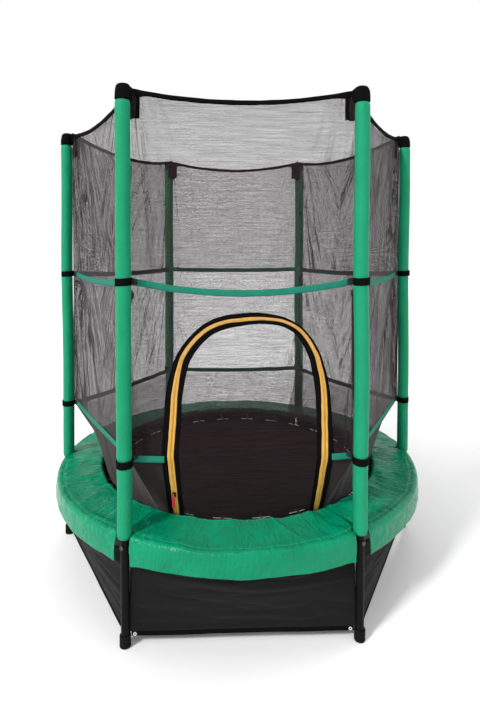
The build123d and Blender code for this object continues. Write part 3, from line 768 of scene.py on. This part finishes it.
def hood(shape, index):
    """A soft cap over one pole top, and the tie that joins it to the net's corner."""
    rows, cols = 26, 36
    a = np.arange(cols)[None] * 2 * pi / cols
    t = np.linspace(0, 1, rows)[:, None]
    knots = [0, 0.30, 0.52, 0.68, 0.80, 0.88, 0.94, 1.0]
    radius = (HOOD_HIGH.x - POLE_R) * np.interp(t, knots, [1.0, 1.0, 0.97, 0.90, 0.78, 0.62, 0.36, 0.01])
    low = HOOD_LOW.z + 0.001
    z = low + (HOOD_HIGH.z - low) * np.interp(t, knots, [0, 0.38, 0.66, 0.84, 0.945, 0.985, 0.998, 1.0])
    z = z * np.ones((1, cols))
    r = radius * (1 + 0.035 * value_noise(a * 2.2, t * 4, index, 4) * np.sin(pi * t))
    points = np.stack([POLE_R + r * np.cos(a) - 0.006 * t**2, r * np.sin(a), z], -1)
    cloth = np.stack([a * 0.02 * np.ones((rows, 1)), z, np.zeros((rows, cols))], -1)
    faces = grid_faces(rows, cols, close_cols=True)
    faces.append(tuple(range(cols - 1, -1, -1)))
    shape.add(turned(points, index * STEP), faces, cloth)
    steps = 7
    near = (NET_A + 0.001) / cos(HALF)
    rise = ROPE_Z + 0.004 + 0.004 * np.linspace(0, 1, steps)
    line = np.stack([np.linspace(near, POLE_R - 0.018, steps), np.zeros(steps), rise], -1)
    half_tall = np.linspace(0.020, 0.021, steps)
    add_ribbon(shape, turned(line, index * STEP), UP, half_tall, 0.018, across=7)


def slab_faces(rows, cols, outward):
    """Faces of a thin slab stored as one grid after another; outward is 1 or -1."""
    layer = rows * cols
    front = [f[::outward] for f in grid_faces(rows, cols)]
    back = [tuple(i + layer for i in f[::-1]) for f in front]
    rim = list(range(cols)) + [r * cols + cols - 1 for r in range(1, rows)]
    rim += [(rows - 1) * cols + i for i in range(cols - 2, -1, -1)]
    rim += [r * cols for r in range(rows - 2, 0, -1)]
    walls = [(b, a, a + layer, b + layer)[::outward] for a, b in zip(rim, rim[1:] + rim[:1])]
    return front + back + walls


def corner_patch(shape, index, turn):
    """The black patch on one side of a net corner, below the hem."""
    rows, cols = 14, 8
    reach, lift, thick = 0.028, 0.0026, 0.0012
    s = np.linspace(0, reach, cols)
    x = (NET_A + lift) / cos(HALF) - s * sin(HALF)
    y = turn * s * cos(HALF)
    u = 1 - s / NET_HALF_W
    sag = 0.5 * (TOP_SAG["front"] + TOP_SAG["rear"])
    top = ROPE_Z - 0.005 - sag * (1 - u**2) + CORNER_RISE * u**2
    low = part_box("corner_patches")[0].z + 0.006 * value_noise(s * 90, index, turn, 6)
    z = low + np.linspace(0, 1, rows)[:, None] * (top - low)
    skin = []
    for shift in (0.0, thick):
        px = x + shift * cos(HALF) + 0 * z
        py = y + shift * turn * sin(HALF) + 0 * z
        skin.append(np.stack([px + 0.0006 * value_noise(z * 60, px * 60, index, 2), py, z], -1))
    block = np.stack(skin)
    cloth = np.stack([block[..., 1], block[..., 2], np.zeros(block.shape[:-1])], -1)
    shape.add(turned(block, index * STEP), slab_faces(rows, cols, turn), cloth)


def corner_pieces():
    """Fabric hoods over the pole tops and the patches beside them."""
    hoods, patches = Shape(), Shape()
    for index in range(6):
        hood(hoods, index)
        for turn in (-1, 1):
            corner_patch(patches, index, turn)
    hoods.build("pole_hoods_cloth", "frame", "black_fabric", ["pole_hoods"], MATS["black"])
    patches.build("corner_patch_cloth", "frame", "black_fabric", ["corner_patches"], MATS["black"])


# ---- door ---------------------------------------------------------------------------
def arch_line(inset, share):
    """A point on the arch at an inset, by its share of the way from left foot to right foot."""
    s = share * ARCH_RUN
    s = np.where(share > 0.5, ARCH_RUN - s, s)
    half = ARCH_HALF - inset
    foot = ARCH_FOOT_HALF - inset
    low = np.clip(s / LEG_LOW, 0, 1)
    high = np.clip((s - LEG_LOW) / LEG_HIGH, 0, 1)
    turn = np.clip((s - LEG_LOW - LEG_HIGH) / CROWN, 0, 0.5) * pi
    x = -(foot + (half - foot) * low)
    x = np.where(s > LEG_LOW + LEG_HIGH, -half * np.cos(turn), x)
    z = FOOT_Z + low * LEG_LOW + high * LEG_HIGH + half * np.sin(turn)
    return ARCH_X + np.where(share > 0.5, -x, x), z


def arch_point(inset, share):
    """The same on the soft door, which slumps and wobbles alike for every inset."""
    inset, share = np.broadcast_arrays(np.asarray(inset, float), share)
    fade = smooth(np.minimum(share, 1 - share) / 0.08)
    wobble = 0.0014 * fade * value_noise(share * 21.0, 0.4, 0.2, 12)
    wobble = wobble + 0.0009 * fade * value_noise(share * 52.0, 0.9, 0.2, 13)
    return arch_line(inset + slump(share) + wobble, share)


def door_surface(x, z, lift):
    """A point of the front at that x and z, moved out from the net by lift."""
    u = net_u(x, z)
    base = net_base(u, z)
    step = 0.002
    across = net_base(u + step, z) - net_base(u - step, z)
    rise = net_base(u, z + step) - net_base(u, z - step)
    out = np.cross(across, rise)
    out = out / np.linalg.norm(out, axis=-1, keepdims=True)
    return base + out * np.asarray(lift)[..., None]


def door_strip(name, inner, outer, thick, lift, body, slot, node, mat, along=260, across=7):
    """A closed strip of cloth on the door between two insets, which may vary along it."""
    share = np.linspace(0, 1, along)
    a = inner(share) if callable(inner) else np.full(along, inner)
    b = outer(share) if callable(outer) else np.full(along, outer)
    t = np.linspace(0, 1, across)
    inset = a[:, None] + (b - a)[:, None] * t[None]
    x, z = arch_point(inset, share[:, None] * np.ones((1, across)))
    pucker = 0.0005 * value_noise(share[:, None] * 70, t[None] * 2, 0.3, 21)
    edge = np.where((t == 0) | (t == 1), 0.35, 1.0)[None]
    front = door_surface(x, z, lift + thick / 2 * edge + pucker)
    back = door_surface(x, z, lift - thick / 2 * edge + pucker)
    ring = np.concatenate([front, back[:, ::-1]], 1)
    n = 2 * across
    length = share[:, None] * 1.9 * np.ones((1, n))
    flat = np.concatenate([inset, inset[:, ::-1]], 1)
    cloth = np.stack([length, flat, np.zeros_like(flat)], -1)
    shape = Shape()
    shape.add(ring, swept_faces(along, n), cloth)
    shape.build(name, body, slot, [node], mat)


ZIP_GAP = 0.0006


def tape_half(share):
    """Half the zip tape's width: narrower round the crown, where it twists."""
    half = by_share(share, (0, 0.0092), (0.15, 0.0096), (0.27, 0.0092), (0.35, 0.0058), (0.50, 0.0050),
                    (0.58, 0.0044), (0.66, 0.0065), (0.73, 0.0088), (0.85, 0.0096), (1, 0.0088))
    return half + 0.0004 * value_noise(share * 30, 0.1, 0.1, 15)


def zip_teeth(name, side, body):
    """A coil of teeth along one half of the zip."""
    shape = Shape()
    count = 620
    for k in range(count):
        share = 0.004 + 0.992 * (k + (0.5 if side > 0 else 0.0)) / count
        insets = zip_line(share) + side * np.array([0.0004, 0.0014, 0.0024])
        x, z = arch_point(insets, share)
        line = door_surface(x, z, np.array([0.0019, 0.0023, 0.0019]))
        add_tube(shape, line, (0.3, -1, 0.2), 0.0005, 0.0008, sides=5)
    shape.build(name, body, "gold_tape", [], MATS["teeth"])


def door():
    """The zip door: outer band and tape on the net, inner tape, band and net on the flap."""
    def outer_edge(share):
        return zip_line(share) - tape_half(share)

    def inner_edge(share):
        return zip_line(share) + tape_half(share)

    def rim(share):
        return flap_line(share) + 0.0012 * value_noise(share * 24, 0.1, 0.3, 16)

    door_strip("door_frame_band", 0.0, lambda s: outer_edge(s) + 0.0015, 0.0026, 0.0, "frame",
               "black_fabric", "door_band_outer", MATS["black"])
    door_strip("zip_tape_fixed", outer_edge, lambda s: zip_line(s) - ZIP_GAP / 2, 0.0012, 0.0009, "frame",
               "gold_tape", "zip_tape_outer", MATS["gold"])
    door_strip("zip_tape_moving", lambda s: zip_line(s) + ZIP_GAP / 2, inner_edge, 0.0012, 0.0009, "door",
               "gold_tape", "zip_tape_inner", MATS["gold"])
    door_strip("door_flap_band", lambda s: inner_edge(s) - 0.0015, rim, 0.0026, 0.0, "door",
               "black_fabric", "door_band_inner", MATS["black"])
    zip_teeth("zip_teeth_fixed", -1, "frame")
    zip_teeth("zip_teeth_moving", 1, "door")
    door_net()


def door_net():
    """The net of the door's flap."""
    rows, cols = 110, 76
    t = np.linspace(0, 1, rows)[:, None]
    z = FOOT_Z + 0.001 + t * (ARCH_SPRING + ARCH_HALF - 0.012 - FOOT_Z) * np.ones((1, cols))
    x = ARCH_X + np.linspace(-ARCH_HALF, ARCH_HALF, cols)[None] * np.ones((rows, 1))
    inset, share = soft_inset(x, z)
    inside = inset - flap_line(share) + 0.008
    keep = (inside[:-1, :-1] + inside[1:, 1:]) / 2 > 0
    points = door_surface(x, z, np.zeros(x.shape))
    fade = smooth((inset - 0.05) / 0.05)
    points[..., 1] += fade * 0.003 * (1 + layered_noise(x * 9, z * 3, 0.4, 41))
    cloth = np.stack([x, z, np.zeros_like(z)], -1)
    below = smooth((LOW_Z - z) / 0.03)
    shape = Shape()
    fan = np.stack([x, z * 0.2, np.zeros_like(z)], -1)
    shape.add(points, grid_faces(rows, cols, keep=keep), cloth, 0.10 * below, fan)
    piece = shape.build("door_flap_net", "door", "black_net", ["door_net"], MATS["net"])
    clean_loose(piece)


# ---- pole sleeves -------------------------------------------------------------------
def foam_sleeve(index, name):
    """A padded tube: soft waves, drawn in under each wrap, with its foam showing at the ends."""
    rows, cols = 180, 40
    low, high = FOAM_LOW.z, FOAM_HIGH.z
    t = np.linspace(0, 1, rows)[:, None]
    z = low + t * (high - low)
    a = np.arange(cols)[None] * 2 * pi / cols
    r = np.full((rows, cols), FOAM_R - 0.0006)
    r = r + 0.0006 * layered_noise(np.cos(a) * 1.3 + 5, z * 14, np.sin(a) * 1.3, index + 3)
    for band_z in (LOW_Z, MID_Z):
        r = r - 0.0013 * np.exp(-(((z - band_z) / 0.013) ** 4))
        for side in (-1, 1):
            crease = hill(z - band_z - side * 0.022, 0.006)
            r = r + 0.0004 * crease * (1 + value_noise(a * 3, index, side, 5))
    r = r - 0.0022 * np.exp(-(z - low) / 0.005) - 0.0022 * np.exp(-(high - z) / 0.005)
    bow = 0.0022 * np.sin(2 * pi * t * 1.3 + index) * np.sin(pi * t)
    sway = 0.0018 * np.sin(2 * pi * t * 1.9 + 2 * index) * np.sin(pi * t)
    z = z * np.ones((1, cols))
    outer = np.stack([POLE_R + r * np.cos(a) + bow, r * np.sin(a) + sway, z], -1)
    bore = TUBE_R + 0.0004 + 0 * z
    inner = np.stack([POLE_R + bore * np.cos(a), bore * np.sin(a), z], -1)
    cloth = np.stack([a * FOAM_R * np.ones((rows, 1)), z, np.zeros((rows, cols))], -1)
    faces = grid_faces(2 * rows, cols, close_rows=True, close_cols=True)
    shape = Shape()
    shape.add(turned(np.concatenate([outer, inner[::-1]]), index * STEP), faces,
              np.concatenate([cloth, cloth[::-1]]))
    piece = shape.build(f"sleeve_{name}", "frame", "green_sleeve", [f"foam_sleeve_{name}"], MATS["sleeve"])
    piece.data.materials.append(MATS["foam"])
    ends = np.zeros(len(piece.data.polygons), np.int32)
    row = np.arange(len(ends)) // cols
    ends[row >= rows - 1] = 1
    piece.data.polygons.foreach_set("material_index", ends)


# ---- safety pad ---------------------------------------------------------------------
def pad_profile():
    """The pad's section as (r, z) points: bottom inner edge, over the top, down the flap and back."""
    thick = 0.0026
    line = [(PAD_IN + 0.004, PAD_LOW), (PAD_IN + 0.0008, PAD_LOW + 0.0035)]
    line += [(PAD_IN + 0.0004, PAD_LOW + 0.008), (PAD_IN + 0.002, PAD_TOP + 0.0005)]
    for r in np.linspace(PAD_IN + 0.009, PAD_OUT - 0.020, 34):
        share = (r - PAD_IN) / (PAD_OUT - PAD_IN)
        line.append((r, PAD_TOP - 0.0020 + 0.0016 * sin(pi * share) + 0.0060 * (1 - share) ** 3))
    centre_r, centre_z, round_r = PAD_OUT - 0.013, PAD_TOP - 0.014, 0.0125
    for angle in np.linspace(75, 0, 8):
        line.append((centre_r + round_r * cos(radians(angle)), centre_z + round_r * sin(radians(angle))))
    for z in np.linspace(centre_z - 0.004, FLAP_LOW + 0.002, 16):
        line.append((PAD_OUT - 0.0004, z))
    line.append((PAD_OUT - thick / 2, FLAP_LOW))
    for z in np.linspace(FLAP_LOW + 0.002, PAD_LOW - 0.004, 8):
        line.append((PAD_OUT - thick, z))
    line.append((PAD_OUT - 0.008, PAD_LOW))
    for r in np.linspace(PAD_OUT - 0.03, PAD_IN + 0.02, 10):
        line.append((r, PAD_LOW))
    return np.array(line)


def pad_section(side, index):
    """One section of the pad, wrinkled across its top and hanging over the frame."""
    profile = pad_profile()
    cols = 240
    v = np.linspace(-1, 1, cols)
    r, z = profile[:, 0][:, None], profile[:, 1][:, None]
    full = HALF - radians(0.06)
    notch = HALF - radians(2.15)
    cut = smooth((r - RING_R) / 0.030)
    drop = smooth((PAD_LOW - z) / 0.05)
    half = full + (notch - full) * cut - radians(0.25) * drop
    theta = half * v[None]
    arc = theta * 0.62
    seed = 50 + index
    top = smooth((z - PAD_LOW - 0.004) / 0.009) * smooth((PAD_OUT + 0.004 - r) / 0.02)
    warp = layered_noise(arc * 8, r * 8, 0.3, seed)
    a = arc * 11 + warp * 1.1
    ridge = 1 - np.abs(layered_noise(a, r * 4.5 + 0.6 * warp, 0.7, seed + 1, 2))
    ridge = ridge**2.2
    fine = 1 - np.abs(layered_noise(arc * 34 + 1.2 * warp, r * 12 + 0.9 * warp, 0.2, seed + 2, 2))
    fine = fine**3
    seam = hill(r - PAD_SEAM_R, 0.0035) * (z > PAD_LOW + 0.006)
    pucker = hill(r - PAD_SEAM_R, 0.016) * np.abs(value_noise(arc * 210, r * 30, 0.1, seed + 3))
    inner_pull = np.exp(-((r - PAD_IN) / 0.02)) * np.abs(value_noise(arc * 120, 0.4, 0.1, seed + 4))
    height = top * (0.0105 * (ridge - 0.5) + 0.0026 * (fine - 0.3) + 0.0030 * pucker + 0.001 * inner_pull)
    height = height - 0.0018 * seam * top
    zz = z + height - 0.0012 * top
    flap = smooth((PAD_TOP - 0.014 - z) / 0.02) * (r > PAD_OUT - 0.006)
    wave = layered_noise(arc * 12, z * 9, 0.5, seed + 6)
    crumple = (1 - np.abs(layered_noise(arc * 16, z * 30, 0.5, seed + 7, 2))) ** 3
    tip = np.exp(-(1 - np.abs(v[None])) * 0.36 / 0.022)
    rr = r + flap * (0.0045 * wave * smooth((PAD_TOP - z) / 0.06) + 0.0026 * (crumple - 0.4) + 0.003 * tip)
    rr = np.minimum(rr, PAD_OUT + 0.006)
    hem = flap * smooth((FLAP_LOW + 0.03 - z) / 0.03)
    zz = zz + hem * (0.004 * value_noise(arc * 9, 0.2, 0.4, seed + 8) - 0.005 * tip)
    points = np.stack([rr * np.sin(theta), -rr * np.cos(theta), zz + 0 * theta], -1)
    rows = len(profile)
    along = run_length(np.stack([profile[:, 0], 0 * profile[:, 0], profile[:, 1]], -1))
    cloth = np.stack([arc, along[:, None] + 0 * arc, np.full(arc.shape, 3.0 * index)], -1)
    faces = grid_faces(rows, cols, close_rows=True)
    faces.append(tuple(i * cols for i in range(rows)))
    faces.append(tuple(i * cols + cols - 1 for i in range(rows - 1, -1, -1)))
    shape = Shape()
    shape.add(turned(points, index * STEP), faces, cloth)
    piece = shape.build(f"pad_{side}", "frame", "green_pvc", [f"pad_section_{side}"], MATS["pad"])
    flip_if_inside_out(piece)
    seam_row = int(np.argmin(np.abs(profile[:40, 0] - PAD_SEAM_R)))
    inner_row = 5
    return [turned(points[k], index * STEP)[4:-4] for k in (seam_row, inner_row)]


def flip_if_inside_out(piece):
    """Make every face look outwards."""
    bm = bmesh.new()
    bm.from_mesh(piece.data)
    bmesh.ops.recalc_face_normals(bm, faces=bm.faces)
    bm.to_mesh(piece.data)
    bm.free()


def pad():
    """All sections of the pad, with their stitching."""
    threads = Shape()
    for index, side in enumerate(SIDES):
        for line in pad_section(side, index):
            add_stitches(threads, line, UP, radius=0.0005)
    threads.build("pad_stitching", "frame", "green_pvc", [], MATS["thread"])


# ---- jumping mat --------------------------------------------------------------------
def jumping_mat():
    """The mat, a little slack, its edge webbing, stitching and grommets."""
    rings, cols = 60, 144
    radius = np.concatenate([[0.0001], np.linspace(0.01, MAT_R - 0.0008, rings - 1)])[:, None]
    a = np.arange(cols) * 2 * pi / cols
    sag = -0.0022 * (1 - (radius / MAT_R) ** 2)
    ripple = 0.0005 * value_noise(radius * 20 * np.cos(a), radius * 20 * np.sin(a), 0.2, 61)
    layers = [polar(radius, a, z + sag + ripple) for z in (MAT_TOP, MAT_LOW)]
    points = np.concatenate([layers[0], layers[1][::-1]])
    cloth = points.copy()
    cloth[..., 2] = 0
    shape = Shape()
    shape.add(points, swept_faces(2 * rings, cols), cloth)
    piece = shape.build("jumping_mat", "mat", "mat_fabric", ["mat"], MATS["mat"])
    flip_if_inside_out(piece)
    edge = Shape()
    ring = polar(MAT_R - WEBBING_W / 2, a, MAT_TOP + 0.0008)
    add_ribbon(edge, ring, polar(1, a, 0), WEBBING_W / 2 - 0.0004, 0.0015, closed=True, across=7)
    edge.build("mat_edge_webbing", "mat", "black_fabric", ["mat_webbing"], MATS["black"])
    threads, bars, rings_shape = Shape(), Shape(), Shape()
    fine = np.linspace(0, 2 * pi, 400)
    for r in (MAT_R - 0.003, MAT_R - WEBBING_W + 0.003):
        add_stitches(threads, polar(r, fine, MAT_TOP + 0.0016), UP)
    threads.build("mat_stitching", "mat", "black_fabric", [], MATS["black"])
    half_bar = 0.030 / MAT_R
    b = np.arange(16) * 2 * pi / 16
    hole = polar(np.array([0.0055]), b, MAT_TOP + 0.0018) * (1, 0.0048 / 0.0055, 1) + (0.464, 0, 0)
    for k in range(LOOPS):
        centre = (k + 0.5) * 2 * pi / LOOPS
        bar = polar(MAT_R - 0.0045, np.linspace(centre - half_bar, centre + half_bar, 12), MAT_TOP + 0.0030)
        add_tube(bars, bar, UP, 0.0012, 0.0022, sides=8)
        add_tube(rings_shape, turned(hole, centre), UP, 0.0008, 0.0012, sides=8, closed=True)
    bars.build("mat_edge_tacks", "mat", "elastic_cord", [], MATS["white_thread"])
    rings_shape.build("mat_grommets", "mat", "black_plastic", [], MATS["plastic"])


def elastic_loops():
    """Each elastic on its own, stretched between mat and ring."""
    centre_z = (MAT_LOW + MAT_TOP + 0.0015) / 2
    small, big, near = 0.006, TUBE_R + 0.0033, LOOP_IN_R
    spread = np.arcsin((big - small) / (RING_R - near))
    top, bottom = pi / 2 + spread, -pi / 2 - spread
    around = np.linspace(top, bottom, 16)[:, None]
    back = np.linspace(bottom + 2 * pi, top, 12)[:, None]
    far = (RING_R, 0, RING_Z) + big * np.hstack([np.cos(around), 0 * around, np.sin(around)])
    close = (near, 0, centre_z) + small * np.hstack([np.cos(back), 0 * back, np.sin(back)])
    straight = np.linspace(0, 1, 14)[1:-1, None]
    low = far[-1] + (close[0] - far[-1]) * straight
    high = close[-1] + (far[0] - close[-1]) * straight
    path = np.concatenate([far, low, close, high])
    for k in range(LOOPS):
        angle = (k + 0.5) * 2 * pi / LOOPS
        shape = Shape()
        side_way = turned(np.array([0.0, 1.0, 0.0]), angle)
        add_tube(shape, turned(path, angle), side_way, 0.0029, 0.0029, sides=10, closed=True)
        names = ["elastic_loops"] if k == 0 else []
        piece = shape.build(f"elastic_{k:02d}", None, "elastic_cord", names, MATS["cord"])
        start = turned(np.array([near + 0.008, 0.0, centre_z]), angle)
        end = turned(np.array([RING_R - 0.016, 0.0, centre_z]), angle)
        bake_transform(piece)


# ---- skirt --------------------------------------------------------------------------
def skirt_side(side, index):
    """One cloth side of the skirt: straight at the ground, round under the pad."""
    rows, cols = 60, 110
    low, high = SKIRT_LOW + 0.013, SKIRT_TOP
    t = np.linspace(0, 1, rows)[:, None]
    v = np.linspace(-1, 1, cols)[None]
    half_low = POLE_R * sin(HALF) - TUBE_R + 0.004
    half_angle = HALF - radians(1.0)
    x = (1 - t) * v * half_low + t * SKIRT_TOP_R * np.sin(v * half_angle)
    y = -(1 - t) * SKIRT_A - t * SKIRT_TOP_R * np.cos(v * half_angle)
    z = low + t * (high - low) + 0 * v
    seed = 80 + index
    sway = 0.004 * layered_noise(v * 2.2, t * 3.2, 0.3, seed)
    crease = 0.0065 * (1 - np.abs(layered_noise(v * 1.8 + t, t * 7, 0.6, seed + 1, 2))) ** 3
    fade = smooth((1 - np.abs(v)) / 0.08) * smooth(t / 0.12)
    y = y + fade * (sway + crease)
    points = np.stack([x + 0 * t, y, z], -1)
    cloth = np.stack([x + 0 * t, z, np.full(x.shape, 2.0 * index)], -1)
    shape = Shape()
    shape.add(turned(points, index * STEP), grid_faces(rows, cols), cloth)
    nodes = ["skirt_panels"] if index == 0 else []
    piece = shape.build(f"skirt_{side}", "frame", "skirt_fabric", nodes, MATS["skirt"])
    solid = piece.modifiers.new("thickness", "SOLIDIFY")
    solid.thickness = 0.0012
    solid.offset = 0.0
    hem = Shape()
    u = np.linspace(-1, 1, 60)
    half_hem = POLE_R * sin(HALF) - 0.018
    path = np.stack([u * half_hem, np.full(60, -SKIRT_A), SKIRT_LOW + 0.007
                     + 0.0012 * value_noise(u * 4, 0.1, index, 91)], -1)
    add_tube(hem, turned(path[::-1], index * STEP), UP, 0.0072, 0.0020, 12, power=0.7)
    nodes = ["skirt_hems"] if index == 0 else []
    hem.build(f"skirt_hem_{side}", "frame", "black_fabric", nodes, MATS["black"])


# ---- make everything ----------------------------------------------------------------
for number, side_name in enumerate(SIDES):
    net_sheet(side_name, number)
net_bands()
band_wraps()
top_hem()
corner_pieces()
door()
for number, pole_name in enumerate(POLES):
    foam_sleeve(number, pole_name)
pad()
jumping_mat()
elastic_loops()
for number, side_name in enumerate(SIDES):
    skirt_side(side_name, number)
for pole_name in POLES:
    for kind in ("leg", "pole", "ring_segment"):
        dress(f"{kind}_{pole_name}", "tube")
SMALL_PARTS = {"leg_saddles": "plastic", "frame_bolts": "zinc", "foot_caps": "rubber",
               "pole_plugs": "plastic", "zip_slider": "slider", "zip_puller": "red", "skirt_eyelets": "white"}
for node_name, mat_key in SMALL_PARTS.items():
    dress(node_name, mat_key)


# ---- floor and light ----------------------------------------------------------------
def studio():
    """White surroundings, a pale floor and two soft suns."""
    scene = bpy.context.scene
    scene.view_settings.view_transform = "Standard"
    world = bpy.data.worlds.new("studio")
    scene.world = world
    world.use_nodes = True
    background = world.node_tree.nodes["Background"]
    background.inputs["Color"].default_value = (1, 1, 1, 1)
    background.inputs["Strength"].default_value = 1.0
    mesh = bpy.data.meshes.new("floor")
    far = 30.0
    mesh.from_pydata([(-far, -far, 0), (far, -far, 0), (far, far, 0), (-far, far, 0)], [], [(0, 1, 2, 3)])
    floor = bpy.data.objects.new("floor", mesh)
    scene.collection.objects.link(floor)
    pale = Nodes("pale_floor", (0.85, 0.85, 0.85), 0.85, 0.1)
    grain = pale.noise(pale.coords(cloth=False), 3.0, 3.0)
    pale.tint(grain, (0.84, 0.84, 0.84), (0.86, 0.86, 0.86))
    mesh.materials.append(pale.mat)
    suns = (("key", (0.95, 0.85, -1.0), 2.7, 9), ("rim", (-0.8, -0.4, -0.9), 0.4, 30))
    for name, toward, strength, spread in suns:
        light = bpy.data.lights.new(name, "SUN")
        light.energy = strength
        light.angle = radians(spread)
        lamp = bpy.data.objects.new(name, light)
        lamp.location = (-2, -3, 4)
        lamp.rotation_euler = Vector(toward).to_track_quat("-Z", "Y").to_euler()
        scene.collection.objects.link(lamp)


studio()
